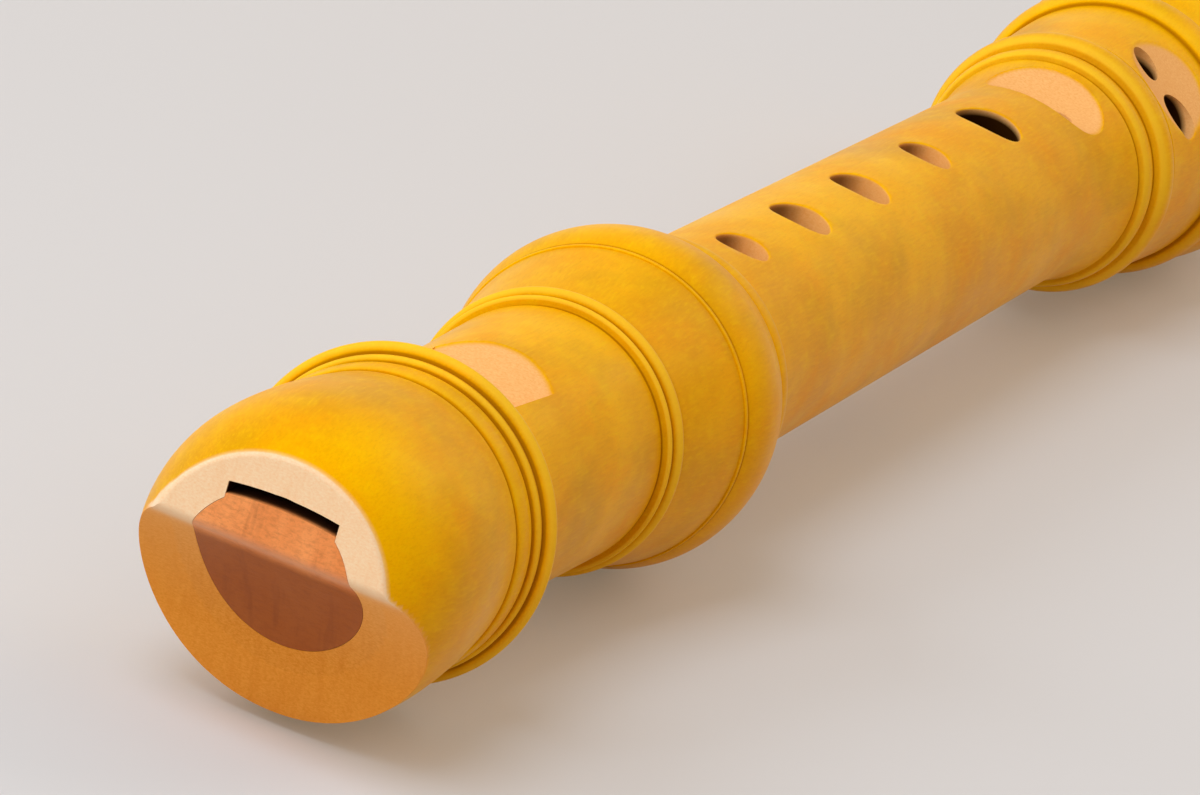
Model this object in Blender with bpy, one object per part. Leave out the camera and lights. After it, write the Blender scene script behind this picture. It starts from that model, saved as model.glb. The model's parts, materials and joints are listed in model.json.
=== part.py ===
"""Sopranino recorder in boxwood: head joint, block, one-piece body with its foot, and tenon lapping.

Lengths are in metres. The bore runs along Y, with the mouth at -Y and the foot at +Y. The window faces up, and the
line of finger holes is turned a little to its right. The instrument lies on the socket bulge and the foot bulge,
which have one radius, and the origin is under its middle, on the surface that it lies on.
"""
import math

import bmesh
import bpy
from mathutils import Matrix

# Fineness of the turned shapes
SEGMENTS = 48
HOLE_SEGMENTS = 20
BEAD_STEPS = 4
COVE_STEPS = 5
CROWN_STEPS = 7
ARCH_STEPS = 6
LEAST_STEP = 0.00005
SHARP_ANGLE = math.radians(35)

# Fit between neighbouring pieces
PIECE_GAP = 0.00025
SEAT_GAP = 0.0003

# Head joint, outer profile from the mouth to the rim
MOUTH_RADIUS = 0.0100
BULB_RADIUS = 0.0130
BULB_RISE = 0.0113
BULB_FALL = 0.0105
BULB_POWERS = (2.3, 1.8)
NECK_RADIUS = 0.0122
GROOVE_WIDTH = 0.0005
GROOVE_DEPTH = 0.0003
FLAT_BEAD_WIDTH = 0.00255
FLAT_BEAD_HEIGHT = 0.0003
FINE_BEAD_WIDTH = 0.0005
FINE_BEAD_HEIGHT = 0.00035
NECK_BEAD_WIDTH = 0.0009
NECK_BEAD_RADIUS = 0.0123
NECK_BEAD_HEIGHT = 0.00045
RING_BEAD_WIDTH = 0.0013
RING_BEAD_FOOT_RADIUS = 0.01275
RING_BEAD_HEIGHT = 0.00085
RING_COVE_LENGTH = 0.0020
WAIST_RADIUS = 0.01025
WAIST_LENGTH = 0.0284
WAIST_END_RADIUS = 0.01075
BULGE_RING_RADIUS = 0.0111
BULGE_RING_BEAD_WIDTH = 0.0012
BULGE_RING_BEAD_HEIGHT = 0.0008
CONE_START_RADIUS = 0.0114
CONE_END_RADIUS = 0.0132
CONE_LENGTH = 0.0103
CONE_POWER = 0.9
SOCKET_BULGE_STEP = 0.0002
SOCKET_BULGE_RADIUS = 0.0142
BULGE_RISE = 0.0037
BULGE_FALL = 0.0070
BULGE_POWERS = (2.0, 2.0)
BULGE_END_RADIUS = 0.0122
RIM_GROOVE_WIDTH = 0.0003
RIM_GROOVE_DEPTH = 0.00015
RIM_BEAD_WIDTH = 0.0025
RIM_BEAD_HEIGHT = 0.0005
RIM_RADIUS = 0.0117

# Mouth: end face, ridge and hollow cut under it
RIDGE_HEIGHT = 0.0026
RIDGE_ROUND = 0.0010
BEAK_DEPTH = 0.0110
BEAK_HOLLOW = 0.0021
BEAK_HOLLOW_POWER = 1.25

# Windway, window and ramp
HEAD_BORE_RADIUS = 0.0066
HEAD_BORE_TAPER = 0.0005
BLOCK_LENGTH = 0.0305
WINDWAY_WIDTH = 0.0093
WINDWAY_HEIGHT = 0.0010
WINDWAY_FLOOR = 0.00605
WINDWAY_ARCH = 0.00036
WINDOW_LENGTH = 0.0040
EDGE_THICKNESS = 0.0003
RAMP_LENGTH = 0.0094
RAMP_SPREAD = 0.0007
UNDERCUT_LENGTH = 0.0045
WALL_SLOPE = 0.0001

# Socket, tenon and lapping
TENON_LENGTH = 0.0160
TENON_RADIUS = 0.0084
TENON_FIT = 0.0003
LAPPING_START = 0.0035
LAPPING_WIDTH = 0.0085
LAPPING_THICKNESS = 0.0007

# Body, outer profile from the shoulder to the foot
BODY_TURN = math.radians(5)
SHOULDER_RADIUS = 0.0099
BODY_END_RADIUS = 0.00935
BODY_LENGTH = 0.0906
FLARE_LENGTH = 0.0107
FLARE_RADIUS = 0.0103
FLARE_POWER = 2.0
FLARE_BEAD_WIDTH = 0.0021
FLARE_BEAD_RADIUS = 0.0106
FLARE_BEAD_HEIGHT = 0.0005
FOOT_GROOVE_RADIUS = 0.0109
FOOT_RING_WIDTH = 0.0032
FOOT_RING_RADIUS = 0.0113
FOOT_RING_HEIGHT = 0.00085
FOOT_WAIST_RADIUS = 0.0117
FOOT_WAIST_END_RADIUS = 0.0123
FOOT_WAIST_LENGTH = 0.0140
SECOND_RING_WIDTH = 0.0047
SECOND_RING_RADIUS = 0.01245
SECOND_RING_HEIGHT = 0.00115
FOOT_BULGE_START_RADIUS = 0.0127
FOOT_BULGE_RADIUS = SOCKET_BULGE_RADIUS
FOOT_BULGE_RISE = 0.0078
FOOT_BULGE_FALL = 0.0118
FOOT_BULGE_POWERS = (1.6, 2.0)
FOOT_NECK_RADIUS = 0.0118
FOOT_END_WIDTH = 0.0058
FOOT_END_HEIGHT = 0.0012

# Body bore
BORE_TOP_RADIUS = 0.0060
BORE_FOOT_RADIUS = 0.0044
BELL_RADIUS = 0.0052
BELL_LENGTH = 0.0040

# Finger holes, measured from the shoulder or from the start of the flare
HOLE_PLACES = (0.0120, 0.0268, 0.0425, 0.0601, 0.0783)
HOLE_DIAMETERS = (0.0047, 0.0055, 0.0055, 0.0048, 0.0062)
THUMB_HOLE_PLACE = 0.0062
THUMB_HOLE_DIAMETER = 0.0052
SCOOP_FROM_FLARE = 0.0046
SCOOP_DEPTH = 0.00175
SCOOP_ROUND = 0.0062
SIX_SPACING = 0.0040
SIX_DIAMETERS = (0.0026, 0.0022)
SEVEN_FROM_FLARE = 0.0224
SEVEN_TURN = math.radians(33)
SEVEN_SPREAD = math.radians(30)
SEVEN_DIAMETERS = (0.0035, 0.0046)
SEVEN_FLAT_DEPTH = 0.0008
SEVEN_FLAT_ROUND = 0.0150

# Reach of the cutting shapes beyond what they cut
CUT_REACH = 0.0200
CUT_OVERLAP = 0.0020


def clear_scene():
    """Remove every object of the scene."""
    for thing in list(bpy.data.objects):
        bpy.data.objects.remove(thing, do_unlink=True)


def wood(name, colour, roughness):
    """A Principled material of one plain colour."""
    material = bpy.data.materials.new(name)
    material.use_nodes = True
    shader = material.node_tree.nodes["Principled BSDF"]
    shader.inputs["Base Color"].default_value = (*colour, 1.0)
    shader.inputs["Roughness"].default_value = roughness
    shader.inputs["Metallic"].default_value = 0.0
    return material


def half_round(start, width, radius, height, steps=BEAD_STEPS):
    """Profile points of a bead standing on a radius, or of a groove where the height is negative."""
    points = []
    for step in range(steps + 1):
        angle = math.pi * step / steps
        along = start + width * (1 - math.cos(angle)) / 2
        points.append((along, radius + height * math.sin(angle)))
    return points


def cove(start, length, radius_start, radius_end, steps=COVE_STEPS):
    """Profile points of a hollow quarter ellipse that falls steeply from its larger radius and ends level."""
    points = []
    for step in range(steps + 1):
        angle = math.pi / 2 * step / steps
        points.append((start + length * (1 - math.cos(angle)),
                       radius_end + (radius_start - radius_end) * (1 - math.sin(angle))))
    return points


def swell(start, length, radius_start, radius_end, power, steps=CROWN_STEPS):
    """Profile points of a hollow rise that grows by a power of the distance."""
    return [(start + length * step / steps, radius_start + (radius_end - radius_start) * (step / steps) ** power)
            for step in range(steps + 1)]


def crown(start, rise, fall, radius_start, radius_crown, radius_end, powers, steps=CROWN_STEPS):
    """Profile points of a bulge that falls away before and after its crown by powers of the distance."""
    points = []
    for step in range(steps + 1):
        drop = (radius_crown - radius_start) * (1 - step / steps) ** powers[0]
        points.append((start + rise * step / steps, radius_crown - drop))
    for step in range(1, steps + 1):
        drop = (radius_crown - radius_end) * (step / steps) ** powers[1]
        points.append((start + rise + fall * step / steps, radius_crown - drop))
    return points


def joined(*runs):
    """One profile from several runs of points, without points that repeat the one before."""
    profile = []
    for run in runs:
        for point in run:
            if not profile or math.dist(profile[-1], point) > LEAST_STEP:
                profile.append(point)
    return profile


def head_outline():
    """Outer profile of the head joint as distance from the mouth and radius."""
    bulb = crown(0, BULB_RISE, BULB_FALL, MOUTH_RADIUS, BULB_RADIUS, NECK_RADIUS, BULB_POWERS)
    first_groove = half_round(bulb[-1][0], GROOVE_WIDTH, NECK_RADIUS, -GROOVE_DEPTH)
    flat_bead = half_round(first_groove[-1][0], FLAT_BEAD_WIDTH, NECK_RADIUS, FLAT_BEAD_HEIGHT)
    second_groove = half_round(flat_bead[-1][0], GROOVE_WIDTH, NECK_RADIUS, -GROOVE_DEPTH)
    neck_bead = half_round(second_groove[-1][0], NECK_BEAD_WIDTH, NECK_BEAD_RADIUS, NECK_BEAD_HEIGHT)
    ring_bead = half_round(neck_bead[-1][0], RING_BEAD_WIDTH, RING_BEAD_FOOT_RADIUS, RING_BEAD_HEIGHT, BEAD_STEPS + 2)
    ring_cove = cove(ring_bead[-1][0], RING_COVE_LENGTH, RING_BEAD_FOOT_RADIUS, WAIST_RADIUS)
    waist = [(ring_cove[-1][0] + WAIST_LENGTH, WAIST_END_RADIUS)]
    bulge_groove = half_round(waist[-1][0], GROOVE_WIDTH, WAIST_END_RADIUS, -GROOVE_DEPTH)
    bulge_fine_bead = half_round(bulge_groove[-1][0], FINE_BEAD_WIDTH, BULGE_RING_RADIUS, FINE_BEAD_HEIGHT)
    bead_groove = half_round(bulge_fine_bead[-1][0], GROOVE_WIDTH, BULGE_RING_RADIUS, -GROOVE_DEPTH)
    bulge_bead = half_round(bead_groove[-1][0], BULGE_RING_BEAD_WIDTH, BULGE_RING_RADIUS, BULGE_RING_BEAD_HEIGHT)
    cone = swell(bulge_bead[-1][0], CONE_LENGTH, CONE_START_RADIUS, CONE_END_RADIUS, CONE_POWER)
    line_groove = half_round(cone[-1][0], GROOVE_WIDTH, CONE_END_RADIUS, -GROOVE_DEPTH / 2)
    bulge = crown(line_groove[-1][0], BULGE_RISE, BULGE_FALL, CONE_END_RADIUS + SOCKET_BULGE_STEP,
                  SOCKET_BULGE_RADIUS, BULGE_END_RADIUS, BULGE_POWERS)
    rim_groove = half_round(bulge[-1][0], RIM_GROOVE_WIDTH, BULGE_END_RADIUS, -RIM_GROOVE_DEPTH)
    rim_bead = half_round(rim_groove[-1][0], RIM_BEAD_WIDTH, RIM_RADIUS, RIM_BEAD_HEIGHT)
    return joined(bulb, first_groove, flat_bead, second_groove, neck_bead, ring_bead, ring_cove, waist, bulge_groove,
                  bulge_fine_bead, bead_groove, bulge_bead, cone, line_groove, bulge, rim_groove, rim_bead)


def body_outline():
    """Outer profile of the body from its shoulder to the foot, as distance from the shoulder and radius."""
    top = [(0, SHOULDER_RADIUS)]
    flare = swell(BODY_LENGTH, FLARE_LENGTH, BODY_END_RADIUS, FLARE_RADIUS, FLARE_POWER)
    flare_groove = half_round(flare[-1][0], GROOVE_WIDTH, FLARE_RADIUS, -GROOVE_DEPTH)
    flare_bead = half_round(flare_groove[-1][0], FLARE_BEAD_WIDTH, FLARE_BEAD_RADIUS, FLARE_BEAD_HEIGHT)
    ring_groove = half_round(flare_bead[-1][0], GROOVE_WIDTH, FOOT_GROOVE_RADIUS, -GROOVE_DEPTH)
    ring = half_round(ring_groove[-1][0], FOOT_RING_WIDTH, FOOT_RING_RADIUS, FOOT_RING_HEIGHT)
    waist = [(ring[-1][0] + GROOVE_WIDTH, FOOT_WAIST_RADIUS), (ring[-1][0] + FOOT_WAIST_LENGTH, FOOT_WAIST_END_RADIUS)]
    second_ring = half_round(waist[-1][0], SECOND_RING_WIDTH, SECOND_RING_RADIUS, SECOND_RING_HEIGHT)
    bulge_groove = half_round(second_ring[-1][0], GROOVE_WIDTH, SECOND_RING_RADIUS, -GROOVE_DEPTH)
    bulge = crown(bulge_groove[-1][0], FOOT_BULGE_RISE, FOOT_BULGE_FALL, FOOT_BULGE_START_RADIUS, FOOT_BULGE_RADIUS,
                  FOOT_NECK_RADIUS, FOOT_BULGE_POWERS)
    end = half_round(bulge[-1][0], FOOT_END_WIDTH, FOOT_NECK_RADIUS, FOOT_END_HEIGHT)
    return joined(top, flare, flare_groove, flare_bead, ring_groove, ring, waist, second_ring, bulge_groove, bulge, end)


HEAD_LENGTH = head_outline()[-1][0]
BODY_REACH = body_outline()[-1][0]
TOTAL_LENGTH = HEAD_LENGTH + SEAT_GAP + BODY_REACH
AXIS_HEIGHT = SOCKET_BULGE_RADIUS * math.cos(math.pi / SEGMENTS)
MOUTH_PLACE = (0, -TOTAL_LENGTH / 2, AXIS_HEIGHT)
SHOULDER_PLACE = (0, -TOTAL_LENGTH / 2 + HEAD_LENGTH + SEAT_GAP, AXIS_HEIGHT)
FLARE_PLACE = BODY_LENGTH


def add_object(name, shape, place, material=None):
    """An object from a bmesh, at its place, shaded smooth where a material is given."""
    mesh = bpy.data.meshes.new(name)
    shape.to_mesh(mesh)
    shape.free()
    thing = bpy.data.objects.new(name, mesh)
    bpy.context.scene.collection.objects.link(thing)
    thing.location = place
    if material:
        mesh.materials.append(material)
        mesh.shade_smooth()
        mesh.set_sharp_from_angle(angle=SHARP_ANGLE)
    return thing


def turned(profile, turn=0.0):
    """A closed turned body: a closed profile of distance and radius, spun round Y, with a flat side up and down."""
    shape = bmesh.new()
    start = Matrix.Rotation(math.pi / SEGMENTS + turn, 4, "Y")
    corners = [shape.verts.new(start @ Matrix.Translation((radius, along, 0)).translation)
               for along, radius in profile]
    edges = [shape.edges.new((corners[index - 1], corners[index])) for index in range(len(corners))]
    bmesh.ops.spin(shape, geom=corners + edges, cent=(0, 0, 0), axis=(0, 1, 0), angle=2 * math.pi,
                   steps=SEGMENTS, use_merge=True)
    bmesh.ops.recalc_face_normals(shape, faces=shape.faces)
    return shape


def skinned(outlines):
    """A closed body through outlines of one number of points, with its first and last outline filled."""
    shape = bmesh.new()
    loops = [[shape.verts.new(point) for point in outline] for outline in outlines]
    for first, second in zip(loops, loops[1:]):
        for index in range(len(first)):
            shape.faces.new((first[index - 1], first[index], second[index], second[index - 1]))
    shape.faces.new(loops[0])
    shape.faces.new(loops[-1])
    bmesh.ops.recalc_face_normals(shape, faces=shape.faces)
    return shape


def section(along, half_width, lower, upper):
    """Outline at a distance along the bore, between two heights that are functions of x."""
    across = [half_width * (2 * step / ARCH_STEPS - 1) for step in range(ARCH_STEPS + 1)]
    return [(x, along, lower(x)) for x in across] + [(x, along, upper(x)) for x in reversed(across)]


def cylinder(radius, length, direction, centre):
    """A closed cylinder about a direction through a centre."""
    shape = bmesh.new()
    turn = direction.to_track_quat("Z", "Y").to_matrix().to_4x4()
    bmesh.ops.create_cone(shape, cap_ends=True, segments=HOLE_SEGMENTS, radius1=radius, radius2=radius, depth=length,
                          matrix=Matrix.Translation(centre) @ turn)
    return shape


def cutter(name, shape, owner):
    """A cutting shape in its owner's coordinates, left out of the model."""
    thing = add_object(name, shape, (0, 0, 0))
    thing.parent = owner
    thing.hide_render = True
    thing.display_type = "WIRE"
    return thing


def cut(piece, tool):
    """Take the tool's shape out of the piece."""
    modifier = piece.modifiers.new(tool.name, "BOOLEAN")
    modifier.operation = "DIFFERENCE"
    modifier.solver = "EXACT"
    modifier.object = tool


def radial(turn):
    """The direction outwards from the axis, turned from straight up towards +X."""
    return (Matrix.Rotation(turn, 4, "Y") @ Matrix.Translation((0, 0, 1))).translation


def arch(height, rise=WINDWAY_ARCH):
    """Height across the windway: a shallow arch, highest in the middle."""
    return lambda x: height - rise * (x / (WINDWAY_WIDTH / 2)) ** 2


def level(height):
    """The same height at every x."""
    return lambda x: height


def beak_outline():
    """Side view of what is cut away at the mouth: in front of the end face, and a hollow below the ridge.

    The hollow's depth under its chord grows with the share of the chord and falls by a power of what is left.
    """
    start_y, start_z = 0, RIDGE_HEIGHT
    end_y, end_z = BEAK_DEPTH, -BULB_RADIUS
    chord = math.dist((start_y, start_z), (end_y, end_z))
    across_y, across_z = (start_z - end_z) / chord, (end_y - start_y) / chord
    steps = 2 * COVE_STEPS
    deepest = 1 / (1 + BEAK_HOLLOW_POWER)
    most = deepest * (1 - deepest) ** BEAK_HOLLOW_POWER
    arc = []
    for step in range(steps + 1):
        share = step / steps
        hollow = BEAK_HOLLOW * share * (1 - share) ** BEAK_HOLLOW_POWER / most
        arc.append((start_y + (end_y - start_y) * share + across_y * hollow,
                    start_z + (end_z - start_z) * share + across_z * hollow))
    slope = math.atan2(arc[1][0] - arc[0][0], arc[0][1] - arc[1][1])
    setback = RIDGE_ROUND * math.tan(slope / 2)
    rounded = []
    for step in range(BEAD_STEPS + 1):
        angle = slope * step / BEAD_STEPS
        rounded.append((RIDGE_ROUND * (1 - math.cos(angle)), RIDGE_HEIGHT + setback - RIDGE_ROUND * math.sin(angle)))
    below = [point for point in arc if point[1] < rounded[-1][1] - PIECE_GAP]
    reach = CUT_REACH
    around = [(end_y + across_z * reach, -BULB_RADIUS - reach), (-reach, -BULB_RADIUS - reach), (-reach, reach),
              (0, reach)]
    return rounded + below + around


def ramp_height(share):
    """Height of the ramp at a share of its length: the arched edge, carried straight up to the waist's surface."""
    edge = WINDWAY_FLOOR + (WINDWAY_HEIGHT + EDGE_THICKNESS) / 2
    return arch(edge + (WAIST_RADIUS - edge) * share)


def make_head(material, beak):
    """Head joint: turned outside, bore and socket, with the mouth, windway, window and ramp cut in."""
    socket_radius = TENON_RADIUS + TENON_FIT
    socket_depth = TENON_LENGTH + SEAT_GAP
    profile = head_outline()
    profile += [(HEAD_LENGTH, socket_radius), (HEAD_LENGTH - socket_depth, socket_radius),
                (HEAD_LENGTH - socket_depth, HEAD_BORE_RADIUS), (BLOCK_LENGTH, HEAD_BORE_RADIUS),
                (0, HEAD_BORE_RADIUS + HEAD_BORE_TAPER)]
    head = add_object("head_joint", turned(profile), MOUTH_PLACE, material)
    cut(head, beak)

    half_width = WINDWAY_WIDTH / 2
    inside = level(HEAD_BORE_RADIUS / 2)
    outside = level(CUT_REACH)
    roof = arch(WINDWAY_FLOOR + WINDWAY_HEIGHT)
    edge_at = BLOCK_LENGTH + WINDOW_LENGTH
    run_out = 1 + CUT_OVERLAP / RAMP_LENGTH
    channel = skinned([
        section(-CUT_OVERLAP, half_width, inside, roof),
        section(BLOCK_LENGTH, half_width, inside, roof),
        section(BLOCK_LENGTH + WALL_SLOPE, half_width, inside, outside),
        section(edge_at, half_width, inside, outside),
        section(edge_at + WALL_SLOPE, half_width, ramp_height(0), outside),
        section(edge_at + RAMP_LENGTH * run_out, half_width + RAMP_SPREAD * run_out, ramp_height(run_out), outside)])
    cut(head, cutter("windway_and_window_cut", channel, head))

    under_edge = arch(WINDWAY_FLOOR + (WINDWAY_HEIGHT - EDGE_THICKNESS) / 2)
    undercut = skinned([
        section(edge_at - WINDOW_LENGTH / 4, half_width - PIECE_GAP, inside, under_edge),
        section(edge_at, half_width - PIECE_GAP, inside, under_edge),
        section(edge_at + UNDERCUT_LENGTH, half_width - PIECE_GAP, inside, arch(HEAD_BORE_RADIUS * 0.6))])
    cut(head, cutter("undercut_cut", undercut, head))
    return head


def block_section(along, radius):
    """Outline of the block: round below its shoulders, and above them a key as wide as the windway."""
    key = WINDWAY_WIDTH / 2 - PIECE_GAP
    floor = arch(WINDWAY_FLOOR)
    top = [key - 2 * key * step / ARCH_STEPS for step in range(ARCH_STEPS + 1)]
    shoulder = math.sqrt(radius ** 2 - key ** 2)
    last_free = math.asin(key / (HEAD_BORE_RADIUS - PIECE_GAP))
    turns = [math.pi * (2 * step + 1) / SEGMENTS for step in range(SEGMENTS)]
    below = [(-radius * math.sin(turn), along, radius * math.cos(turn)) for turn in turns
             if last_free < turn < 2 * math.pi - last_free]
    return [(x, along, floor(x)) for x in top] + [(-key, along, shoulder)] + below + [(key, along, shoulder)]


def make_block(material, beak):
    """Block: a slightly tapered plug that fits the bore, with a key that carries the windway's floor."""
    radius = HEAD_BORE_RADIUS - PIECE_GAP
    shape = skinned([block_section(0, radius + HEAD_BORE_TAPER), block_section(BLOCK_LENGTH, radius)])
    block = add_object("block", shape, MOUTH_PLACE, material)
    cut(block, beak)
    return block


def hole_cutter(name, body, place, turn, aside, diameter):
    """A round hole from outside into the bore, at a place along the body, turned about it or set aside across it."""
    outward = radial(turn)
    centre = outward * (CUT_REACH / 2 + CUT_OVERLAP / 2)
    centre.y = place
    centre.x += aside
    return cutter(name, cylinder(diameter / 2, CUT_REACH, outward, centre), body)


def make_body(material):
    """Body with its foot: tenon with a lapping groove, tapered bore, finger holes and thumb hole."""
    groove_radius = TENON_RADIUS - LAPPING_THICKNESS - PIECE_GAP
    groove_start = LAPPING_START - TENON_LENGTH
    groove_end = groove_start + LAPPING_WIDTH + 2 * PIECE_GAP
    tenon = [(-TENON_LENGTH, BORE_TOP_RADIUS), (-TENON_LENGTH, TENON_RADIUS), (groove_start, TENON_RADIUS),
             (groove_start, groove_radius), (groove_end, groove_radius), (groove_end, TENON_RADIUS), (0, TENON_RADIUS)]
    bore = [(BODY_REACH, BELL_RADIUS), (BODY_REACH - BELL_LENGTH, BORE_FOOT_RADIUS)]
    body = add_object("body_joint", turned(tenon + body_outline() + bore, -BODY_TURN), SHOULDER_PLACE, material)
    body.rotation_euler.y = BODY_TURN

    for number, (place, diameter) in enumerate(zip(HOLE_PLACES, HOLE_DIAMETERS), start=1):
        cut(body, hole_cutter(f"finger_hole_{number}_cut", body, place, 0, 0, diameter))
    cut(body, hole_cutter("thumb_hole_cut", body, THUMB_HOLE_PLACE, math.pi, 0, THUMB_HOLE_DIAMETER))

    six = FLARE_PLACE + SCOOP_FROM_FLARE
    scoop_centre = (0, six, BODY_END_RADIUS - SCOOP_DEPTH + SCOOP_ROUND)
    scoop = cylinder(SCOOP_ROUND, CUT_REACH, radial(math.pi / 2), scoop_centre)
    cut(body, cutter("scoop_cut", scoop, body))
    for side, diameter in zip((-1, 1), SIX_DIAMETERS):
        name = f"finger_hole_6_{'left' if side < 0 else 'right'}_cut"
        cut(body, hole_cutter(name, body, six, 0, side * SIX_SPACING / 2, diameter))

    seven = FLARE_PLACE + SEVEN_FROM_FLARE
    outward = radial(SEVEN_TURN)
    flat_centre = outward * (FOOT_WAIST_RADIUS - SEVEN_FLAT_DEPTH + SEVEN_FLAT_ROUND)
    flat_centre.y = seven
    flat = cylinder(SEVEN_FLAT_ROUND, CUT_REACH, radial(SEVEN_TURN + math.pi / 2), flat_centre)
    cut(body, cutter("finger_flat_cut", flat, body))
    for side, diameter in zip((-1, 1), SEVEN_DIAMETERS):
        name = f"finger_hole_7_{'left' if side < 0 else 'right'}_cut"
        cut(body, hole_cutter(name, body, seven, SEVEN_TURN + side * SEVEN_SPREAD / 2, 0, diameter))
    return body


def make_lapping(material):
    """Thread lapping in the tenon's groove, as one plain band."""
    start = LAPPING_START - TENON_LENGTH + PIECE_GAP
    inner = TENON_RADIUS - LAPPING_THICKNESS
    band = [(start, inner), (start, TENON_RADIUS), (start + LAPPING_WIDTH, TENON_RADIUS), (start + LAPPING_WIDTH, inner)]
    return add_object("tenon_lapping", turned(band), SHOULDER_PLACE, material)


def main():
    """Build the recorder."""
    clear_scene()
    boxwood = wood("stained_boxwood", (0.80, 0.42, 0.03), 0.35)
    block_wood = wood("block_wood", (0.36, 0.12, 0.05), 0.55)
    thread = wood("waxed_thread", (0.55, 0.40, 0.24), 0.8)
    beak_shape = skinned([[(side, y, z) for y, z in beak_outline()] for side in (-CUT_REACH, CUT_REACH)])
    beak = add_object("beak_cut", beak_shape, MOUTH_PLACE)
    beak.hide_render = True
    beak.display_type = "WIRE"
    make_head(boxwood, beak)
    make_block(block_wood, beak)
    make_body(boxwood)
    make_lapping(thread)


main()
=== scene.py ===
"""Looks of the sopranino recorder: fine turned surfaces, stained boxwood, the block's reddish wood, waxed
thread, a pale floor and soft light."""
import json
import math

import bpy
import numpy as np
from mathutils import Matrix


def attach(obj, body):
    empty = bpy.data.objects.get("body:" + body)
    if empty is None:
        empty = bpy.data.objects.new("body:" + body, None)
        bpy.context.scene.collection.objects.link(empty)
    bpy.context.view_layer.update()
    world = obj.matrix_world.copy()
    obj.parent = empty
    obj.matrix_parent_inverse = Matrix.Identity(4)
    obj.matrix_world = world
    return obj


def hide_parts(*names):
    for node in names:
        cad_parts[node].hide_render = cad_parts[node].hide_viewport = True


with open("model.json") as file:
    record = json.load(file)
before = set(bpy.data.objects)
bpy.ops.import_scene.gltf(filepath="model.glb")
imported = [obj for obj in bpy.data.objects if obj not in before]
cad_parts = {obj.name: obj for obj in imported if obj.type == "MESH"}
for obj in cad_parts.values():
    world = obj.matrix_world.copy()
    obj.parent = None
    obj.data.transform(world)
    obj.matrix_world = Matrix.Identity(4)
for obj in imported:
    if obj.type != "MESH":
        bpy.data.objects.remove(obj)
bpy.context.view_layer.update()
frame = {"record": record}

# The frame's own places, in metres, and the lengths between them, in millimetres like every size below
MM = 0.001
JOINTS = {joint["name"]: joint for joint in frame["record"]["behaviour"]["joints"]}
AXIS_HEIGHT = JOINTS["head_turn"]["pos_m"][2]
HEAD_LENGTH = 84.95
SEAT_GAP = 0.3
BODY_REACH = 152.2
MOUTH_Y = -(HEAD_LENGTH + SEAT_GAP + BODY_REACH) / 2 * MM
SHOULDER_Y = MOUTH_Y + (HEAD_LENGTH + SEAT_GAP) * MM

# Turned surfaces: the CAD's have 48 flats and lie on one, so radii are carried to the middle of a flat
FLATS = 48
ROUND = math.cos(math.pi / FLATS)
SEGMENTS = 180
FACE_INSET = 0.05
BULGE_RADIUS = 14.2
FAR = 20.0

# Outside of the head
MOUTH_ROUND = 0.5
MOUTH_RADIUS = 10.0
BULB_RADIUS = 13.0
NECK_RADIUS = 12.2
WAIST_RADIUS = 10.25
WAIST_END_RADIUS = 10.75
RING_RADIUS = 11.1

# Bore and socket of the head, windway, window and block
HEAD_BORE = 6.6
HEAD_BORE_TAPER = 0.5
SOCKET_GAP = 0.3
SOCKET_DEPTH = 16.3
BLOCK_LENGTH = 30.5
BLOCK_GAP = 0.03
WINDWAY_HALF = 4.65
WINDWAY_FLOOR = 6.05
WINDWAY_HEIGHT = 1.0
WINDWAY_ARCH = 0.36
WINDOW_LENGTH = 4.0
EDGE_THICKNESS = 0.3
RAMP_LENGTH = 9.4
RAMP_WIDENING = 0.7
UNDERCUT_LENGTH = 4.5
UNDERCUT_SHARE = 0.6

# Cut of the mouth: a ridge, with a hollow below it
RIDGE_HEIGHT = 2.6
HOLLOW_LOW = -13.0
HOLLOW_LENGTH = 11.0
HOLLOW_DEPTH = 2.1
HOLLOW_POWER = 1.25

# Outside, tenon and bore of the body
SHOULDER_RADIUS = 9.9
STRAIGHT_LENGTH = 90.6
STRAIGHT_END_RADIUS = 9.35
FLARE_RADIUS = 10.3
FOOT_WAIST_RADIUS = 11.7
FOOT_END_RADIUS = 11.8
TENON_LENGTH = 16.0
TENON_RADIUS = 8.4
TENON_BORE = 6.0
FOOT_BORE = 4.4
BELL_RADIUS = 5.2
BELL_LENGTH = 4.0
GROOVE_START = -12.5
GROOVE_END = -3.5
GROOVE_RADIUS = 7.45
THREAD = 0.5
LAPPING_LENGTH = 8.5

# Holes of the body, with places from the shoulder, and the depth from which each finger hole's wall
# carries painted shade
BODY_TURN = math.radians(5)
HOLE_PLACES = (12.0, 26.8, 42.5, 60.1, 78.3)
HOLE_SIZES = (4.7, 5.5, 5.5, 4.8, 6.2)
HOLE_DARKS = (2.9, 2.2, 2.4, 2.6, 0.1)
THUMB_PLACE = 6.2
THUMB_SIZE = 5.2
HOLE_SOFTNESS = 0.22
WALL_DROPS = np.array([6.0, 4.0, 2.5, 1.5, 0.9, 0.5, 0.25])
SCOOP_PLACE = STRAIGHT_LENGTH + 4.6
SCOOP_REACH = 5.6
SCOOP_RADIUS = 6.2
SCOOP_DEPTH = 1.75
SCOOP_DARK = 2.05
SIX_ASIDE = 2.0
SIX_SIZES = (2.6, 2.2)
SIX_SOFTNESS = 0.12
FLAT_PLACE = STRAIGHT_LENGTH + 22.4
FLAT_TURN = BODY_TURN + math.radians(33)
FLAT_REACH = 8.5
FLAT_RADIUS = 15.0
FLAT_DEPTH = 0.88
FLAT_DARK = 1.2
SEVEN_SPREAD = math.radians(15)
SEVEN_SIZES = (3.5, 4.6)
SEVEN_SOFTNESS = 0.15

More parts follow.
